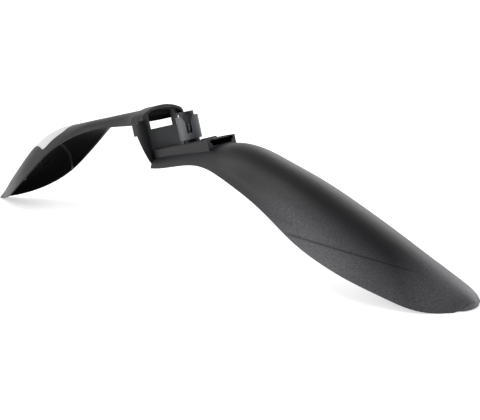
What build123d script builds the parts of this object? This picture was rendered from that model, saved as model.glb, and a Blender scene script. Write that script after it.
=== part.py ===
"""Front mudguard for a suspension fork, lying on its two ends as on a table.

A one-piece moulded guard (beak, arm, hood with a window, railed platform, long rear blade)
carries a slide-in adapter whose split sleeve is expanded inside the fork's steerer tube.
X runs along the guard from the beak to the blade, Y across it, Z up; the floor is Z = 0.
Millimetres and degrees.
"""
import os
from math import asin, cos, degrees, dist, radians, sin, sqrt, tan

from build123d import *

# Guard, main lengths and heights
beak_length = 248.0  # beak tip to the foot of the riser
platform_length = 73.5  # railed platform behind the riser, along its slope
tail_length = 292.0  # end of the platform to the blade's tip
platform_tilt = 16.0  # slope of the platform as the guard lies
foot_height = 87.4  # foot of the riser above the floor
wall = 2.4  # moulded wall

# Beak and arm
beak_slope = 44.3  # slope of the beak's front part
beak_tip_height = 1.0  # ridge of the beak at its very tip
knee_softness = 1.8  # how far the ridge is rounded off at the knee
spoon_length = 160.0  # beak tip to where the spoon has narrowed into the arm
beak_radii = ((-0.04, 3.0), (0.04, 6.5), (0.125, 13.5), (0.25, 25.5), (0.375, 34.5), (0.5, 38.5),
              (0.625, 39.5), (0.75, 42.0), (0.86, 38.0), (0.94, 26.0))  # share of the spoon, arch radius
beak_depths = ((0.25, 27.0), (0.5, 37.5), (0.75, 20.2), (0.9, 11.5))  # share of the spoon, ridge to rim
arm_shape = (16.5, 40.0, 7.7, 88.0)  # crown radius and angle, chord of the bend, flank angle
flare_steps = ((-2.0, 0.0), (-1.0, 0.22), (0.0, 0.9), (0.9, 1.0))  # hood depths past the collar, flare
arm_depth = 11.5  # ridge of the arm to its lower edge
collar_deepening = 1.5  # the arm's lower edge drops this much more at the collar
spoon_bend = 0.59  # chord of the bend below the crown, as a share of the arch radius
beak_rib_share = 0.47  # where the rib inside the beak stands, as a share of the spoon
beak_rib_height = 3.0
beak_rib_width = 1.6
dimple_offset = 53.5  # beak tip to the round dimples in the beak's inside
dimple_spread = 15.0  # each dimple's distance from the middle
dimple_radius = 5.0
dimple_depth = 0.9

# Inlay in the beak's back
inlay_front = 60.0  # beak tip to the inlay's front edge
inlay_nose = 14.0  # half the width of its front edge
inlay_rear = 119.5  # beak tip to its rear edge
inlay_half_width = 35.0
inlay_shoulder = 14.0  # rear edge to the inlay's widest place
inlay_corner = 7.0
inlay_thickness = 0.9
inlay_gap = 0.15  # play around and under the inlay

# Hood and riser
hood_half_width = 29.0
hood_depth = 12.8  # collar in front of the riser's rear face
hood_height = 46.0  # foot of the riser to the hood's crown
hood_crown_radius = 60.0
hood_corner = 7.0  # shoulder rounding of the hood
hood_lip = 4.0  # roof standing over the riser's rear face
collar_step = 1.4  # the arm's back lies this far below the hood's
riser_corner = 8.6  # rounding between the riser and its cheeks
cheek_bottom = 20.5  # lower end of the cheeks above the foot
cheek_toe = 8.9  # depth of the cheek where its slanted front starts
rim_drop = 12.8  # foot of the riser down to the blade's front rim
window_half_width = 16.8
window_sill = 24.4  # foot of the riser to the sill
window_height = 20.0  # runs up into the roof

# Blade under the platform: share of the platform, ridge below the platform's line
blade_neck = ((-0.11, 0.0), (0.2, 0.1), (0.5, 0.8), (0.8, 2.0))
neck_shape = (48.0, 25.0, 14.3, 78.0)  # crown radius and angle, chord of the bend, flank angle
# Blade behind it: share of the tail, ridge as a share of the platform's end height, shape as above
blade_tail = (
    (0.071, 1.003, (45.0, 40.0, 9.6, 80.0)),
    (0.243, 0.921, (40.0, 62.0, 8.0, 82.0)),
    (0.384, 0.804, (40.5, 78.0, 4.0, 66.0)),
    (0.516, 0.665, (43.0, 67.0, 4.0, 48.0)),
    (0.658, 0.498, (45.5, 50.0, 4.0, 37.0)),
    (0.789, 0.334, (47.0, 33.0, 4.0, 34.0)),
    (0.931, 0.152, (38.0, 28.0, 4.0, 33.0)),
    (1.062, -0.09, (38.0, 27.0, 4.0, 28.0)),
)
# Rim of the blade: share of the tail, height as a share of the platform's end height
blade_rim = ((0.04, 0.803), (0.142, 0.726), (0.278, 0.568), (0.415, 0.382), (0.556, 0.265), (0.81, 0.082),
             (0.95, 0.0))
rim_straight = 0.78  # share of the platform along which the rim is nearly straight
rim_dip = 17.1  # platform's line down to the rim where that part ends
tip_height = 0.6  # rim of the blade at its very tip
skirt_length = 45.0  # straight skirt of every arch, trimmed off at the rim

# Platform rails
rail_half_width = 19.6
channel_half_width = 13.8
rail_height = 3.8  # rail top above the platform's line
floor_depth = 2.7  # channel floor below the platform's line
floor_wall = 3.2
groove_depth = 2.3
groove_bottom = -0.1  # from the platform's line
groove_top = 2.7
rail_root = 8.5  # rails reach this far down into the blade

# Slide-in adapter
slide_play = 0.3
adapter_front_gap = 0.5  # adapter to the riser
adapter_body_length = 51.5
latch_length = 21.0  # thin springy tongue behind the body
latch_thickness = 1.5
latch_corner = 3.0
adapter_top = 4.2  # above the platform's line
thumb_ridge_offset = 57.5  # riser to the middle of the thumb ridge
thumb_ridge_half_width = 10.7
thumb_ridge_length = 2.6
thumb_ridge_height = 1.4
plug_offset = 34.5  # riser to the plug's axis
neck_radius = 8.2
neck_height = 3.1
spigot_height = 5.0

# Expander sleeve
sleeve_radius = 11.0
sleeve_length = 22.8
sleeve_bore = 6.1
sleeve_play = 0.3  # spigot in the sleeve's bore
sleeve_mouth = 8.2  # bore radius at the open top
sleeve_cone = 8.0  # depth of the coned mouth
slot_half_width = 2.6
slot_depth = 16.6
notch_half_width = 5.4
notch_depth = 5.6
slot_turn = -45.0  # direction of the slots about the plug's axis

# Wedge
wedge_play = 0.6  # wedge to the sleeve's cone, slots and outside
wedge_rise = 1.2  # wings stand this far above the sleeve
wedge_head_radius = 7.4
wedge_head_height = 3.1
wedge_drop = 8.0  # wedge reaches this far down into the sleeve

# Bolt, washer and nut
bolt_radius = 2.5
bolt_length = 30.0
bolt_tip_chamfer = 0.6
bolt_head_radius = 4.25
bolt_head_height = 4.8
bolt_head_gap = 0.2  # head short of the adapter's underside
washer_gap = 0.1  # head to the washer
bolt_socket = 4.0  # across flats
bolt_socket_depth = 2.6
bolt_hole_radius = 2.75
washer_radius = 5.0
washer_thickness = 1.0
counterbore_play = 0.4  # washer in the adapter's counterbore
nut_across_flats = 8.0
nut_height = 4.0
nut_bore = 2.58
nut_play = 0.1
nut_recess = 2.0  # nut below the wedge's top

# Places that follow from the sizes above
tilt = radians(platform_tilt)
platform_reach = platform_length * cos(tilt)
platform_end_height = foot_height + platform_length * sin(tilt)
tip_x = -(beak_length + platform_reach + tail_length) / 2
foot_x = tip_x + beak_length
tail_x = foot_x + platform_reach
far = 400.0  # larger than any reach of the guard across or up

mount = Plane(origin=(foot_x, 0, foot_height), x_dir=(cos(tilt), 0, sin(tilt)),
              z_dir=(-sin(tilt), 0, cos(tilt)))
mount_side = Plane(origin=mount.origin, x_dir=mount.x_dir, z_dir=(0, -1, 0))
hood_crown_angle = degrees(asin((hood_half_width - hood_corner) / (hood_crown_radius - hood_corner)))
hood_bend = 2 * hood_corner * sin(radians(90 - hood_crown_angle) / 2)
hood_shape = (hood_crown_radius, hood_crown_angle, hood_bend, 90)


def across(along):
    """Plane across the platform, its local X along Y and its local Y up from the platform."""
    return Plane(origin=mount.from_local_coords((along, 0, 0)), x_dir=(0, 1, 0), z_dir=mount.x_dir)


def mount_point(along, up):
    """Place on the middle plane, as (x, z), of a point given along and up from the platform."""
    point = mount.from_local_coords((along, 0, up))
    return (point.X, point.Z)


def arc_points(first, last, start, end):
    """Control points of a cubic along an arc that falls at the start angle and then at the end angle."""
    handle = dist(first, last) / (3 * cos((end - start) / 4) ** 2)
    first_pull = (first[0] + handle * cos(start), first[1] - handle * sin(start))
    last_pull = (last[0] - handle * cos(end), last[1] + handle * sin(end))
    return [first, first_pull, last_pull, last]


def draw_arch(ridge, shape, inset):
    """Draw an arch's crown and both bends, and return the two ends where its skirts start."""
    crown_radius, crown_angle, bend, flank_angle = shape
    start, end = radians(crown_angle), radians(flank_angle)
    radius = crown_radius - inset
    chord = bend - 2 * inset * sin((end - start) / 2)
    crown_end = (radius * sin(start), ridge - crown_radius + radius * cos(start))
    bend_end = (crown_end[0] + chord * cos((start + end) / 2), crown_end[1] - chord * sin((start + end) / 2))
    right = arc_points(crown_end, bend_end, start, end)
    left = [(-y, z) for y, z in right]
    Bezier(*arc_points(left[0], right[0], -start, start))
    Bezier(*left)
    Bezier(*right)
    return left[-1], right[-1]


def arch_slice(x, ridge, shape, outer, inner):
    """Slice across the guard at x, between two depths below its outer surface."""
    flank = radians(shape[3])
    feet = []
    with BuildSketch(Plane(origin=(x, 0, 0), x_dir=(0, 1, 0), z_dir=(1, 0, 0))) as band:
        with BuildLine():
            for inset in (outer, inner):
                for side, (y, z) in zip((-1, 1), draw_arch(ridge, shape, inset)):
                    foot = (y + side * skirt_length * cos(flank), z - skirt_length * sin(flank))
                    Line((y, z), foot)
                    feet.append(foot)
            Line(feet[0], feet[2])
            Line(feet[1], feet[3])
        make_face()
    return band.sketch


def beak_ridge(x):
    """Height of the ridge in front of the riser: the beak's slope run softly into the arm's."""
    beak_line = beak_tip_height + (x - tip_x) * tan(radians(beak_slope))
    hood_x, hood_z = mount_point(0, hood_height - collar_step)
    arm_line = hood_z - (hood_x - x) * tan(tilt)
    half_gap = (beak_line - arm_line) / 2
    return (beak_line + arm_line) / 2 - sqrt(half_gap**2 + knee_softness**2)


def beak_slices(outer, inner, first=None, last=None):
    """Slices of the beak, the arm and the arm's flare into the hood, or a run of them."""
    collar_x = mount_point(-hood_depth, cheek_bottom)[0]
    hood_liner = (hood_crown_radius, hood_crown_angle, hood_bend - 2 * collar_step, 90)
    stations = []
    for share, radius in beak_radii:
        stations.append((tip_x + share * spoon_length, (radius, 50, radius * spoon_bend, 86)))
    stations.append((tip_x + spoon_length * 1.04, arm_shape))
    for step, share in flare_steps:
        shape = [slim + share * (wide - slim) for slim, wide in zip(arm_shape, hood_liner)]
        stations.append((collar_x + step * hood_depth, shape))
    return [arch_slice(x, beak_ridge(x), shape, outer, inner) for x, shape in stations[first:last]]


# Side profile that trims the beak and the arm along their rim
collar = mount_point(-hood_depth / 2, cheek_bottom)
arm_end = (collar[0], beak_ridge(collar[0]) - arm_depth - collar_deepening)
with BuildSketch(Plane.XZ) as beak_profile:
    with BuildLine():
        rim = [(tip_x + share * spoon_length, depth) for share, depth in beak_depths]
        rim.append((tip_x + spoon_length * 1.17, arm_depth))
        Spline((tip_x, 0), *[(x, beak_ridge(x) - depth) for x, depth in rim], arm_end)
        Polyline(arm_end, mount_point(-hood_depth / 2, far), (tip_x, far), (tip_x, 0))
    make_face()

with BuildPart() as beak:
    loft(sections=beak_slices(0, wall))
    extrude(beak_profile.sketch, amount=far, both=True, mode=Mode.INTERSECT)

# Rib across the inside of the beak
with BuildPart() as beak_rib:
    loft(sections=beak_slices(wall / 2, wall + beak_rib_height, 4, 7))
    extrude(beak_profile.sketch, amount=far, both=True, mode=Mode.INTERSECT)
    with BuildSketch(Plane.XZ):
        with Locations((tip_x + beak_rib_share * spoon_length, 0)):
            Rectangle(beak_rib_width, far)
    extrude(amount=far, both=True, mode=Mode.INTERSECT)

# What the round dimples take out of the inside of the beak
with BuildPart() as beak_dimples:
    loft(sections=beak_slices(wall - dimple_depth, 2 * wall, 2, 6))
    with BuildSketch(Plane.XY):
        with Locations((tip_x + dimple_offset, -dimple_spread), (tip_x + dimple_offset, dimple_spread)):
            Circle(dimple_radius)
    extrude(amount=far, both=True, mode=Mode.INTERSECT)

# Blade, from the riser to its tip, trimmed along the rim's side profile
with BuildPart() as blade:
    blade_slices = []
    for share, sag in blade_neck:
        x, z = mount_point(share * platform_length, -sag)
        blade_slices.append(arch_slice(x, z, neck_shape, 0, wall))
    for share, height, shape in blade_tail:
        x = tail_x + share * tail_length
        blade_slices.append(arch_slice(x, height * platform_end_height, shape, 0, wall))
    loft(sections=blade_slices)
    with BuildSketch(Plane.XZ):
        with BuildLine():
            front = mount_point(-wall / 2, -rim_drop)
            rear = mount_point(platform_length * rim_straight, -rim_dip)
            middle = ((front[0] + rear[0]) / 2, (front[1] + rear[1]) / 2)
            tip = (tail_x + tail_length, tip_height)
            rim = [(tail_x + share * tail_length, part * platform_end_height) for share, part in blade_rim]
            Spline(front, middle, rear, *rim, tip)
            top = mount_point(-wall / 2, far)
            Polyline(tip, (tip[0], top[1]), top, front)
        make_face()
    extrude(amount=far, both=True, mode=Mode.INTERSECT)

# Hood: a channel of riser and cheeks under an arched roof with a lip
with BuildPart() as hood:
    with BuildSketch(mount.offset(-rim_drop)) as channel:
        with Locations((-hood_depth, 0)):
            Rectangle(2 * hood_depth, 2 * hood_half_width)
        fillet(channel.vertices().group_by(Axis.X)[-1], riser_corner)
        with Locations((-hood_depth - wall, 0)):
            RectangleRounded(2 * hood_depth, 2 * (hood_half_width - wall), riser_corner - wall,
                             mode=Mode.SUBTRACT)
    extrude(amount=rim_drop + hood_height)
    with BuildSketch(across(-hood_depth)):
        with BuildLine():
            left_end, right_end = draw_arch(hood_height, hood_shape, 0)
            Polyline(left_end, (left_end[0], -rim_drop), (right_end[0], -rim_drop), right_end)
        make_face()
    extrude(amount=hood_depth, mode=Mode.INTERSECT)
    with BuildSketch(across(-hood_depth)):
        with Locations((0, window_sill)):
            Rectangle(2 * window_half_width, window_height, align=(Align.CENTER, Align.MIN))
    extrude(amount=2 * hood_depth, mode=Mode.SUBTRACT)
    with BuildSketch(across(-hood_depth)):
        with BuildLine():
            outer_ends = draw_arch(hood_height, hood_shape, 0)
            inner_ends = draw_arch(hood_height, hood_shape, wall)
            Line(outer_ends[0], inner_ends[0])
            Line(outer_ends[1], inner_ends[1])
        make_face()
    extrude(amount=hood_depth + hood_lip)
    with BuildSketch(mount_side):
        with BuildLine():
            Polyline((-far, cheek_bottom), (-cheek_toe, cheek_bottom), (-wall / 2, -rim_drop * 0.75),
                     (-wall / 2, -far), (-far, -far), close=True)
        make_face()
    extrude(amount=far, both=True, mode=Mode.SUBTRACT)
    with BuildSketch(across(-hood_depth)):
        with Locations((0, -neck_shape[0])):
            Circle(neck_shape[0] - wall * 1.5)
    extrude(amount=2 * hood_depth, mode=Mode.SUBTRACT)

os.makedirs("parts", exist_ok=True)


def inlay_outline(play):
    """Shield outline of the inlay in plan, narrow end to the front, widened by some play."""
    widest = tip_x + inlay_rear - inlay_shoulder
    with BuildSketch(Plane.XY) as shield:
        with BuildLine():
            Polyline((tip_x + inlay_front, -inlay_nose), (tip_x + inlay_front, inlay_nose),
                     (widest, inlay_half_width),
                     (tip_x + inlay_rear, inlay_half_width - inlay_shoulder),
                     (tip_x + inlay_rear, inlay_shoulder - inlay_half_width),
                     (widest, -inlay_half_width), close=True)
        make_face()
        fillet(shield.vertices(), inlay_corner)
        offset(amount=play)
    return shield.sketch


# Inlay, and the recess that takes it
with BuildPart() as beak_inlay:
    loft(sections=beak_slices(0, inlay_thickness))
    extrude(inlay_outline(0), amount=far, both=True, mode=Mode.INTERSECT)
beak_inlay.part.label = "beak_inlay"
export_step(beak_inlay.part, "parts/beak_inlay.step")

with BuildPart() as recess:
    loft(sections=beak_slices(-wall, inlay_thickness + inlay_gap))
    extrude(inlay_outline(inlay_gap), amount=far, both=True, mode=Mode.INTERSECT)

# The guard: beak, hood, blade and railed platform moulded as one
with BuildPart() as mudguard:
    add(blade.part)
    add(hood.part)
    add(beak.part)
    add(beak_rib.part)
    with BuildSketch(across(-wall / 2)):
        with BuildLine():
            Polyline((-rail_half_width, rail_height), (-rail_half_width, -rail_root),
                     (-channel_half_width, -floor_depth - floor_wall),
                     (channel_half_width, -floor_depth - floor_wall),
                     (rail_half_width, -rail_root), (rail_half_width, rail_height), close=True)
        make_face()
    extrude(amount=platform_length + wall / 2)
    with BuildSketch(across(0)):
        with Locations((0, -floor_depth)):
            Rectangle(2 * channel_half_width, 2 * rail_height + floor_depth, align=(Align.CENTER, Align.MIN))
        with Locations((0, groove_bottom)):
            Rectangle(2 * (channel_half_width + groove_depth), groove_top - groove_bottom,
                      align=(Align.CENTER, Align.MIN))
    extrude(amount=platform_length * 1.2, mode=Mode.SUBTRACT)
    add(recess.part, mode=Mode.SUBTRACT)
    add(beak_dimples.part, mode=Mode.SUBTRACT)
    split(bisect_by=Plane.XY, keep=Keep.TOP)
mudguard.part.label = "mudguard"
export_step(mudguard.part, "parts/mudguard.step")

# Planes and heights of the plug, measured up from the platform's line
plug = Plane(origin=mount.from_local_coords((plug_offset, 0, 0)), x_dir=mount.x_dir, z_dir=mount.z_dir)
plug_side = Plane(origin=plug.origin, x_dir=mount.x_dir, z_dir=(0, -1, 0))
plug_axis = Axis(plug.origin, plug.z_dir)
slot_direction = mount.x_dir * cos(radians(slot_turn)) + mount.y_dir * sin(radians(slot_turn))
slots = Plane(origin=plug.origin, x_dir=plug.z_dir.cross(slot_direction), z_dir=slot_direction)
adapter_bottom = slide_play - floor_depth
head_bottom = adapter_bottom + bolt_head_gap
washer_bottom = head_bottom + bolt_head_height + washer_gap
counterbore_top = washer_bottom + washer_thickness
sleeve_bottom = adapter_top + neck_height
sleeve_top = sleeve_bottom + sleeve_length
notch_bottom = sleeve_top - notch_depth
wedge_bottom = sleeve_top - wedge_drop
wedge_top = sleeve_top + wedge_rise + wedge_head_height
nut_bottom = wedge_top - nut_recess - nut_height

# Slide-in adapter: body with side tongues, springy latch tongue, neck and spigot for the sleeve
with BuildPart() as slide_adapter:
    body_half_width = channel_half_width - slide_play
    with BuildSketch(mount.offset(adapter_bottom)):
        with Locations((adapter_front_gap, 0)):
            Rectangle(adapter_body_length, 2 * body_half_width, align=(Align.MIN, Align.CENTER))
    extrude(amount=adapter_top - adapter_bottom)
    with BuildSketch(mount.offset(groove_bottom + slide_play)):
        with Locations((adapter_front_gap, 0)):
            Rectangle(adapter_body_length, 2 * (body_half_width + groove_depth),
                      align=(Align.MIN, Align.CENTER))
    extrude(amount=groove_top - groove_bottom - 2 * slide_play)
    with BuildSketch(mount.offset(adapter_top)) as latch:
        with Locations((adapter_front_gap, 0)):
            Rectangle(adapter_body_length + latch_length, 2 * body_half_width,
                      align=(Align.MIN, Align.CENTER))
        fillet(latch.vertices().group_by(Axis.X)[-1], latch_corner)
    extrude(amount=-latch_thickness)
    with BuildSketch(mount.offset(adapter_top)):
        with Locations((thumb_ridge_offset, 0)):
            SlotOverall(2 * thumb_ridge_half_width, thumb_ridge_length, rotation=90)
    extrude(amount=thumb_ridge_height)
    with BuildSketch(plug_side):
        with BuildLine():
            spigot_radius = sleeve_bore - sleeve_play
            Polyline((0, adapter_bottom), (neck_radius, adapter_bottom), (neck_radius, sleeve_bottom),
                     (spigot_radius, sleeve_bottom), (spigot_radius, sleeve_bottom + spigot_height),
                     (0, sleeve_bottom + spigot_height), close=True)
        make_face()
    revolve(axis=plug_axis)
    with BuildSketch(plug.offset(adapter_bottom)):
        Circle(washer_radius + counterbore_play)
    extrude(amount=counterbore_top - adapter_bottom, mode=Mode.SUBTRACT)
    with BuildSketch(plug):
        Circle(bolt_hole_radius)
    extrude(amount=far, both=True, mode=Mode.SUBTRACT)
slide_adapter.part.label = "slide_adapter"
export_step(slide_adapter.part, "parts/slide_adapter.step")

# Split sleeve with a coned mouth and two funnel-topped slots
with BuildPart() as expander_sleeve:
    with BuildSketch(plug_side):
        with BuildLine():
            Polyline((sleeve_bore, sleeve_bottom), (sleeve_radius, sleeve_bottom),
                     (sleeve_radius, sleeve_top), (sleeve_mouth, sleeve_top),
                     (sleeve_bore, sleeve_top - sleeve_cone), close=True)
        make_face()
    revolve(axis=plug_axis)
    with BuildSketch(slots):
        with BuildLine():
            slot_bottom = sleeve_top - slot_depth
            Polyline((-slot_half_width, slot_bottom), (slot_half_width, slot_bottom),
                     (slot_half_width, notch_bottom), (notch_half_width, sleeve_top),
                     (-notch_half_width, sleeve_top), (-slot_half_width, notch_bottom), close=True)
        make_face()
    extrude(amount=2 * sleeve_radius, both=True, mode=Mode.SUBTRACT)
expander_sleeve.part.label = "expander_sleeve"
export_step(expander_sleeve.part, "parts/expander_sleeve.step")

# Wedge: a cone and a round head over it, with two wings that ride in the sleeve's slots
with BuildPart() as wedge:
    notch_slope = (notch_half_width - slot_half_width) / notch_depth
    funnel_play = wedge_play * sqrt(1 + notch_slope**2)
    wing_half_width = notch_half_width - funnel_play
    wing_neck = slot_half_width - wedge_play
    wing_neck_top = sleeve_top - (wing_half_width - wing_neck) / notch_slope
    wing_top = sleeve_top + wedge_rise
    with BuildSketch(slots):
        with BuildLine():
            Polyline((-wing_neck, wedge_bottom), (wing_neck, wedge_bottom), (wing_neck, wing_neck_top),
                     (wing_half_width, sleeve_top), (wing_half_width, wing_top), (-wing_half_width, wing_top),
                     (-wing_half_width, sleeve_top), (-wing_neck, wing_neck_top), close=True)
        make_face()
    extrude(amount=sleeve_radius, both=True)
    with BuildSketch(plug):
        Circle(sleeve_radius - wedge_play)
    extrude(amount=far, mode=Mode.INTERSECT)
    cone_slope = (sleeve_mouth - sleeve_bore) / sleeve_cone
    cone_play = wedge_play * sqrt(1 + cone_slope**2)
    cone_radius = sleeve_mouth - cone_play - cone_slope * wedge_drop
    with BuildSketch(plug_side):
        with BuildLine():
            Polyline((0, wedge_bottom), (cone_radius, wedge_bottom),
                     (wedge_head_radius, wedge_bottom + (wedge_head_radius - cone_radius) / cone_slope),
                     (wedge_head_radius, wedge_top), (0, wedge_top), close=True)
        make_face()
    revolve(axis=plug_axis)
    with BuildSketch(plug.offset(nut_bottom)):
        RegularPolygon(nut_across_flats / 2 + nut_play, 6, major_radius=False)
    extrude(amount=nut_height + 2 * nut_recess, mode=Mode.SUBTRACT)
    with BuildSketch(plug):
        Circle(bolt_hole_radius)
    extrude(amount=far, mode=Mode.SUBTRACT)
wedge.part.label = "wedge"
export_step(wedge.part, "parts/wedge.step")

# Socket-head bolt, head down in the adapter
with BuildPart() as bolt:
    with BuildSketch(plug.offset(head_bottom)):
        Circle(bolt_head_radius)
    extrude(amount=bolt_head_height)
    with BuildSketch(plug.offset(head_bottom + bolt_head_height)):
        Circle(bolt_radius)
    extrude(amount=bolt_length)
    chamfer(bolt.edges().filter_by(GeomType.CIRCLE).sort_by(plug_axis)[-1], bolt_tip_chamfer)
    with BuildSketch(plug.offset(head_bottom)):
        RegularPolygon(bolt_socket / 2, 6, major_radius=False)
    extrude(amount=bolt_socket_depth, mode=Mode.SUBTRACT)
bolt.part.label = "bolt"
export_step(bolt.part, "parts/bolt.step")

with BuildPart() as washer:
    with BuildSketch(plug.offset(washer_bottom)):
        Circle(washer_radius)
        Circle(bolt_hole_radius, mode=Mode.SUBTRACT)
    extrude(amount=washer_thickness)
washer.part.label = "washer"
export_step(washer.part, "parts/washer.step")

with BuildPart() as nut:
    with BuildSketch(plug.offset(nut_bottom)):
        RegularPolygon(nut_across_flats / 2, 6, major_radius=False)
        Circle(nut_bore, mode=Mode.SUBTRACT)
    extrude(amount=nut_height)
nut.part.label = "nut"
export_step(nut.part, "parts/nut.step")
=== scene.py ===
"""Studio picture of the bicycle mudguard: finishes, white floor, soft light and the camera."""
from math import cos, radians, sin

import bpy
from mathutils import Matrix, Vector


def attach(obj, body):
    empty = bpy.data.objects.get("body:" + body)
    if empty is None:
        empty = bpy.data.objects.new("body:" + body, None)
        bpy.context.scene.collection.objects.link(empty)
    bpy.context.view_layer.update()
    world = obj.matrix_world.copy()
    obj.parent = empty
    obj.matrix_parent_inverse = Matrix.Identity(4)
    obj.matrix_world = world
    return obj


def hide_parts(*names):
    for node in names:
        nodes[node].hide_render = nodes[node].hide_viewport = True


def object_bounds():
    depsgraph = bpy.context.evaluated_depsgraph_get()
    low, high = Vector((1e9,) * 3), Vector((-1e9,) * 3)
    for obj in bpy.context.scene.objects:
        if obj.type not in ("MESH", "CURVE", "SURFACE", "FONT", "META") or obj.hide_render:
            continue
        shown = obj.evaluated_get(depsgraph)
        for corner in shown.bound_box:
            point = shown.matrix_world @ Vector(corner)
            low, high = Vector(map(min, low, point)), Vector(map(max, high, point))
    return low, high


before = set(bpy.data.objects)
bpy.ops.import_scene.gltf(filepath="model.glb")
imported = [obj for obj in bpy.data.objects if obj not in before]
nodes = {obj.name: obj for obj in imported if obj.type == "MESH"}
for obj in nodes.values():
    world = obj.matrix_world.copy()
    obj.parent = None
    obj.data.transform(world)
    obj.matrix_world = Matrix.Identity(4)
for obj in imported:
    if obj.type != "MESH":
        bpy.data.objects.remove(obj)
cad_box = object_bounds()

# Stretches of the guard in metres, along it (X) or off its middle (Y), over which its finish changes,
# and how far it is painted greyer there, a painted sheen on the blade's rim and tip
hood_back = (-0.074, -0.07)
blade_front = (0.06, 0.15)
back_to_rim = (0.015, 0.055)
tip_panel = (0.22, 0.3)
rim_sheen = 0.75
speckle_contrast = (0.65, 1.35)

# Crease along each flank of the blade, a dark line of painted shade: off the middle by crease_offset
# at its front, then bowed inwards
crease_front = 0.12
crease_offset = 0.043
crease_bow = 4.46
crease_power = 2.575
crease_edge = (0.0001, 0.001)
crease_fade_in = (crease_front, 0.14)
crease_fade_out = (0.24, 0.272)
crease_shade = 0.5

# Nose of the blade: where its rounding starts, how far it is bowed, and the shoulder that fades it out
blade_end = cad_box[1][0]
nose_start = 0.292
nose_bow = 18
nose_half_width = 0.0158
nose_shoulder = 0.0064

# Low arch under the end face of the blade, which the nose closes
end_face_depth = 0.0003
arch_half_width = 0.0115
arch_height = 0.0033
arch_bow = 20

# Colours of the plastics and metal
charcoal = (0.017, 0.0165, 0.02)
# Painted sheen: the blade's rim and tip are painted lighter towards this grey
sheen_grey = (0.2, 0.196, 0.213)
# Painted shade: the inside of beak and hood and the crease line are painted this near black
painted_shade_black = (0.003, 0.003, 0.0035)
adapter_black = (0.026, 0.026, 0.028)
sleeve_grey = (0.24, 0.245, 0.26)
wedge_black = (0.06, 0.06, 0.064)
inlay_white = (0.95, 0.95, 0.95)
zinc = (0.8, 0.8, 0.81)

# Surfaces: the part of the noise's range that is used, the gloss, for the guard inside and outside beak
# and hood, and the sizes of the guard's grain and edges in metres
noise_middle = (0.3, 0.7)
plastic_ior = 1.5
gloss_spread = 0.05
facing_outwards = (-0.2, 0.1)
guard_roughness = (0.3, 0.45)
guard_specular = (0.03, 0.5)
steel_roughness = (0.34, 0.46)
inlay_roughness = (0.28, 0.34)
guard_grain_height = 0.00012
guard_edge_radius = 0.0009

# The studio, in metres; the view turns about Z from looking along +Y, and the floor's lift to white is
# given at the object, where it is lower as a painted contact shadow, and in the open
floor_size = 60
floor_height = -0.0002
floor_white = (0.9, 0.9, 0.9)
floor_lift = (0.56, 0.76)
contact_shadow_reach = 0.05
cool_white = (0.8, 0.92, 1)
view_turn = radians(41)
view_height = radians(14.5)
camera_place = (1.1308, -1.2590, 0.4746)

# Light from around: its strength from the camera's side to the back, and from wall to ceiling, where
# the first pair of each is a share of the direction away from the camera or upwards
camera_side_to_back = (-0.6, 0.6)
backdrop_strength = (0.04, 1)
wall_to_ceiling = (0.25, 0.7)
ceiling_strength = (1, 0.25)


def new_material(name):
    """A new node material, its tree and its principled shader."""
    material = bpy.data.materials.new(name)
    material.use_nodes = True
    tree = material.node_tree
    return material, tree, tree.nodes["Principled BSDF"]


def ramp(tree, source, span, values):
    """A socket that goes smoothly from one value to the other as the source crosses the span."""
    node = tree.nodes.new("ShaderNodeMapRange")
    node.interpolation_type = "SMOOTHSTEP"
    node.inputs["From Min"].default_value, node.inputs["From Max"].default_value = span
    node.inputs["To Min"].default_value, node.inputs["To Max"].default_value = values
    tree.links.new(source, node.inputs["Value"])
    return node.outputs["Result"]


def calculate(tree, operation, first, second=0):
    """A sum or other calculation of one or two values, each a socket or a number."""
    node = tree.nodes.new("ShaderNodeMath")
    node.operation = operation
    for value, entry in zip((first, second), node.inputs):
        if isinstance(value, (int, float)):
            entry.default_value = value
        else:
            tree.links.new(value, entry)
    return node.outputs["Value"]


def blend(tree, share, first, second):
    """A colour between two, by a share; the second may be a socket."""
    node = tree.nodes.new("ShaderNodeMix")
    node.data_type = "RGBA"
    node.inputs["A"].default_value = (*first, 1)
    if isinstance(second, tuple):
        node.inputs["B"].default_value = (*second, 1)
    else:
        tree.links.new(second, node.inputs["B"])
    tree.links.new(share, node.inputs["Factor"])
    return node.outputs["Result"]


def split_vector(tree, vector):
    """The X, Y and Z of a vector socket."""
    node = tree.nodes.new("ShaderNodeSeparateXYZ")
    tree.links.new(vector, node.inputs["Vector"])
    return node.outputs["X"], node.outputs["Y"], node.outputs["Z"]


def grain(tree, scale, detail):
    """A noise that is fixed to the object."""
    place = tree.nodes.new("ShaderNodeTexCoord")
    noise = tree.nodes.new("ShaderNodeTexNoise")
    noise.inputs["Scale"].default_value = scale
    noise.inputs["Detail"].default_value = detail
    tree.links.new(place.outputs["Object"], noise.inputs["Vector"])
    return noise.outputs["Fac"]


def bump(tree, shader, height, distance, strength):
    """Bump the shader's normal by a height socket and return the bump node."""
    node = tree.nodes.new("ShaderNodeBump")
    node.inputs["Distance"].default_value = distance
    node.inputs["Strength"].default_value = strength
    tree.links.new(height, node.inputs["Height"])
    tree.links.new(node.outputs["Normal"], shader.inputs["Normal"])
    return node


def plastic(name, colour, roughness, grain_depth):
    """Moulded plastic with a fine grain."""
    material, tree, shader = new_material(name)
    shader.inputs["Base Color"].default_value = (*colour, 1)
    shader.inputs["IOR"].default_value = plastic_ior
    fine = grain(tree, scale=900, detail=2)
    gloss = ramp(tree, fine, noise_middle, (roughness - gloss_spread, roughness + gloss_spread))
    tree.links.new(gloss, shader.inputs["Roughness"])
    bump(tree, shader, fine, grain_depth, strength=0.5)
    return material


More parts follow.
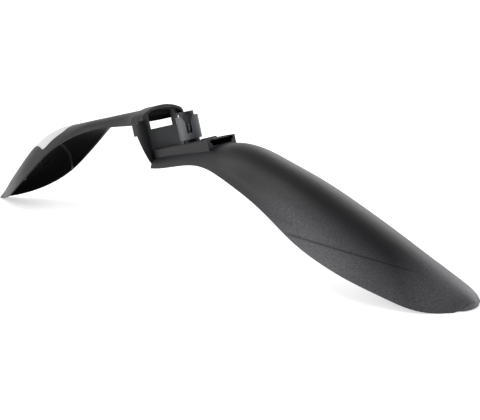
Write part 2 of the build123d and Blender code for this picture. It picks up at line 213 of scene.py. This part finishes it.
def outer_face(tree, along, across):
    """1 on the outer faces and on every face behind the hood, 0 inside the beak and the hood, which are
    painted shade.
    """
    facing = tree.nodes.new("ShaderNodeNewGeometry")
    _, sideways, upward = split_vector(tree, facing.outputs["Normal"])
    from_middle = calculate(tree, "MULTIPLY", sideways, calculate(tree, "SIGN", across))
    outward = calculate(tree, "ADD", from_middle, upward)
    behind_hood = ramp(tree, along, hood_back, (0, 1))
    return calculate(tree, "MAXIMUM", behind_hood, ramp(tree, outward, facing_outwards, (0, 1)))


def crease_line(tree, along, off_middle):
    """A thin line of painted shade along the blade's flank, where it creases: the crease's shade share on
    it, 0 elsewhere.
    """
    past_front = calculate(tree, "MAXIMUM", calculate(tree, "SUBTRACT", along, crease_front), 0)
    bow = calculate(tree, "MULTIPLY", calculate(tree, "POWER", past_front, crease_power), crease_bow)
    crease = calculate(tree, "SUBTRACT", crease_offset, bow)
    distance = calculate(tree, "ABSOLUTE", calculate(tree, "SUBTRACT", off_middle, crease))
    line = ramp(tree, distance, crease_edge, (1, 0))
    line = calculate(tree, "MULTIPLY", line, ramp(tree, along, crease_fade_in, (0, 1)))
    return calculate(tree, "MULTIPLY", line, ramp(tree, along, crease_fade_out, (crease_shade, 0)))


def painted_sheen(tree, along, off_middle, speckle):
    """How grey the plastic is painted: more towards the blade's rim and its tip, a painted sheen,
    speckled by the grain.
    """
    on_blade = ramp(tree, along, blade_front, (0, 1))
    by_rim = calculate(tree, "MULTIPLY", ramp(tree, off_middle, back_to_rim, (0, rim_sheen)), on_blade)
    sheen_share = calculate(tree, "MAXIMUM", by_rim, ramp(tree, along, tip_panel, (0, 1)))
    return calculate(tree, "MULTIPLY", sheen_share, ramp(tree, speckle, noise_middle, speckle_contrast))


def guard_plastic():
    """Charcoal plastic, grained outside, edges softened; painted shade: near black and smooth inside
    beak and hood and on the blade's crease line; painted sheen: lighter on the blade's rim and tip.
    """
    material, tree, shader = new_material("guard_plastic")
    shader.inputs["IOR"].default_value = plastic_ior
    place = tree.nodes.new("ShaderNodeTexCoord")
    along, across, _ = split_vector(tree, place.outputs["Object"])
    off_middle = calculate(tree, "ABSOLUTE", across)
    outside = outer_face(tree, along, across)
    off_crease = calculate(tree, "SUBTRACT", 1, crease_line(tree, along, off_middle))
    open_surface = calculate(tree, "MULTIPLY", outside, off_crease)

    speckle = grain(tree, scale=700, detail=3)
    # Painted sheen: lighter towards the blade's rim and tip
    outer_shade = blend(tree, painted_sheen(tree, along, off_middle, speckle), charcoal, sheen_grey)
    # Painted shade: near black with little gloss inside beak and hood and on the crease line
    tree.links.new(blend(tree, open_surface, painted_shade_black, outer_shade), shader.inputs["Base Color"])
    tree.links.new(ramp(tree, outside, (0, 1), guard_roughness), shader.inputs["Roughness"])
    specular = ramp(tree, open_surface, (0, 1), guard_specular)
    tree.links.new(specular, shader.inputs["Specular IOR Level"])

    grain_height = calculate(tree, "MULTIPLY", outside, guard_grain_height)
    rough = calculate(tree, "MULTIPLY", speckle, grain_height)
    relief = bump(tree, shader, rough, distance=1, strength=1)
    edges = tree.nodes.new("ShaderNodeBevel")
    edges.samples = 4
    edges.inputs["Radius"].default_value = guard_edge_radius
    tree.links.new(edges.outputs["Normal"], relief.inputs["Normal"])
    return material


def steel():
    """Zinc-plated steel, its gloss a little uneven."""
    material, tree, shader = new_material("bolt_steel")
    shader.inputs["Base Color"].default_value = (*zinc, 1)
    shader.inputs["Metallic"].default_value = 1
    fine = grain(tree, scale=1500, detail=3)
    tree.links.new(ramp(tree, fine, noise_middle, steel_roughness), shader.inputs["Roughness"])
    return material


def inlay_plastic():
    """White smooth plastic, its gloss a little uneven."""
    material, tree, shader = new_material("inlay_plastic")
    shader.inputs["Base Color"].default_value = (*inlay_white, 1)
    fine = grain(tree, scale=300, detail=2)
    tree.links.new(ramp(tree, fine, noise_middle, inlay_roughness), shader.inputs["Roughness"])
    return material


steel_finish = steel()
finishes = {
    "mudguard": guard_plastic(),
    "beak_inlay": inlay_plastic(),
    "slide_adapter": plastic("adapter_plastic", adapter_black, roughness=0.42, grain_depth=0.00004),
    "expander_sleeve": plastic("sleeve_plastic", sleeve_grey, roughness=0.45, grain_depth=0.00003),
    "wedge": plastic("wedge_plastic", wedge_black, roughness=0.45, grain_depth=0.00003),
    "bolt": steel_finish,
    "washer": steel_finish,
    "nut": steel_finish,
}
for name, finish in finishes.items():
    nodes[name].data.materials.clear()
    nodes[name].data.materials.append(finish)


def ease(share):
    """A smooth rise from 0 to 1."""
    share = min(max(share, 0), 1)
    return share * share * (3 - 2 * share)


def rounded_end(place):
    """Where a point near the blade's end goes when that end is rounded in plan."""
    reach = ease((place.x - nose_start) / (blade_end - nose_start))
    inward = 1 - ease((abs(place.y) - nose_half_width) / nose_shoulder)
    return Vector((place.x - nose_bow * place.y ** 2 * reach * inward, place.y, place.z))


def turned(normal, place):
    """The normal at a point near the blade's end after that end is rounded."""
    step = 0.0001
    along_x = rounded_end(place + Vector((step, 0, 0))) - rounded_end(place - Vector((step, 0, 0)))
    along_y = rounded_end(place + Vector((0, step, 0))) - rounded_end(place - Vector((0, step, 0)))
    along_z = Vector((0, 0, 2 * step))
    sides = (along_y.cross(along_z), along_z.cross(along_x), along_x.cross(along_y))
    return sum((side * part for side, part in zip(sides, normal)), Vector()).normalized()


def under_arch(place):
    """Whether a point is on the lower edge of the blade's end."""
    at_end = place.x > blade_end - end_face_depth and abs(place.y) < arch_half_width
    return at_end and place.z < arch_height - arch_bow * place.y ** 2


# The guard with its blade's end rounded and the arch under that end closed
moulding = nodes["mudguard"].data.copy()
places = [point.co.copy() for point in moulding.vertices]
normals = [corner.vector.copy() for corner in moulding.corner_normals]
for corner in moulding.loops:
    place = places[corner.vertex_index]
    if place.x > nose_start:
        normals[corner.index] = turned(normals[corner.index], place)
for point, place in zip(moulding.vertices, places):
    point.co = rounded_end(place)
    if under_arch(place):
        point.co.z = 0
moulding.normals_split_custom_set(normals)
guard = bpy.data.objects.new("guard_moulding", moulding)
bpy.context.scene.collection.objects.link(guard)
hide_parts("mudguard")
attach(guard, "guard")


def seen_as_background(tree):
    """1 for rays that show the background: from the camera, off a gloss or through glass."""
    path = tree.nodes.new("ShaderNodeLightPath")
    camera_ray, glass_ray = path.outputs["Is Camera Ray"], path.outputs["Is Transmission Ray"]
    direct = calculate(tree, "MAXIMUM", camera_ray, glass_ray)
    return calculate(tree, "MAXIMUM", direct, path.outputs["Is Glossy Ray"])


def floor_finish():
    """White floor: lit like paper, and lifted to white where it is seen, less so close to the object, a
    painted contact shadow.
    """
    material, tree, shader = new_material("white_floor")
    tree.nodes.remove(shader)
    paper = tree.nodes.new("ShaderNodeBsdfDiffuse")
    paper.inputs["Color"].default_value = (*floor_white, 1)
    lift = tree.nodes.new("ShaderNodeEmission")
    # Painted contact shadow: the floor's lift falls off close to the object
    near = tree.nodes.new("ShaderNodeAmbientOcclusion")
    near.samples = 8
    near.inputs["Distance"].default_value = contact_shadow_reach
    open_floor = ramp(tree, near.outputs["AO"], (0, 1), floor_lift)
    strength = calculate(tree, "MULTIPLY", seen_as_background(tree), open_floor)
    tree.links.new(strength, lift.inputs["Strength"])
    both = tree.nodes.new("ShaderNodeAddShader")
    tree.links.new(paper.outputs["BSDF"], both.inputs[0])
    tree.links.new(lift.outputs["Emission"], both.inputs[1])
    tree.links.new(both.outputs["Shader"], tree.nodes["Material Output"].inputs["Surface"])
    return material


bpy.ops.mesh.primitive_plane_add(size=floor_size, location=(0, 0, floor_height))
floor = bpy.context.object
floor.name = "floor"
floor.data.materials.append(floor_finish())


def studio():
    """White surroundings, bright behind the object, dark on the camera's side and dim overhead."""
    world = bpy.data.worlds.new("studio")
    world.use_nodes = True
    tree = world.node_tree
    direction = tree.nodes.new("ShaderNodeTexCoord").outputs["Generated"]
    away = tree.nodes.new("ShaderNodeVectorMath")
    away.operation = "DOT_PRODUCT"
    away.inputs[1].default_value = (-sin(view_turn), cos(view_turn), 0)
    tree.links.new(direction, away.inputs[0])
    _, _, height = split_vector(tree, direction)
    backdrop = ramp(tree, away.outputs["Value"], camera_side_to_back, backdrop_strength)
    ceiling = ramp(tree, height, wall_to_ceiling, ceiling_strength)
    background = tree.nodes["Background"]
    background.inputs["Color"].default_value = (1, 1, 1, 1)
    tree.links.new(calculate(tree, "MULTIPLY", backdrop, ceiling), background.inputs["Strength"])
    return world


def soft_light(name, place, aim, size, power, colour=(1, 1, 1)):
    """A large square light at a place, aimed at a point."""
    data = bpy.data.lights.new(name, "AREA")
    data.shape = "SQUARE"
    data.size = size
    data.energy = power
    data.color = colour
    lamp = bpy.data.objects.new(name, data)
    bpy.context.scene.collection.objects.link(lamp)
    lamp.location = place
    lamp.rotation_euler = (Vector(aim) - Vector(place)).to_track_quat("-Z", "Y").to_euler()


bpy.context.scene.world = studio()
soft_light("key_light", place=(-0.75, -0.5, 1.7), aim=(0, 0, 0.05), size=1.0, power=8.5)
soft_light("side_light", place=(-0.7, -1.3, 0.85), aim=(0.05, 0, 0.05), size=1.1, power=9)
soft_light("back_light", place=(-0.45, 1.55, 0.75), aim=(0.1, 0, 0.05), size=0.9, power=4)
soft_light("window_light", place=(1.43, 1.04, 0.4), aim=(0, 0, 0.1), size=0.8, power=3, colour=cool_white)

camera_data = bpy.data.cameras.new("camera")
camera_data.lens = 135
camera_data.sensor_width = 36
camera = bpy.data.objects.new("camera", camera_data)
bpy.context.scene.collection.objects.link(camera)
camera.location = camera_place
camera.rotation_euler = (radians(90) - view_height, 0, view_turn)
bpy.context.scene.camera = camera
bpy.context.scene.view_settings.view_transform = "Standard"
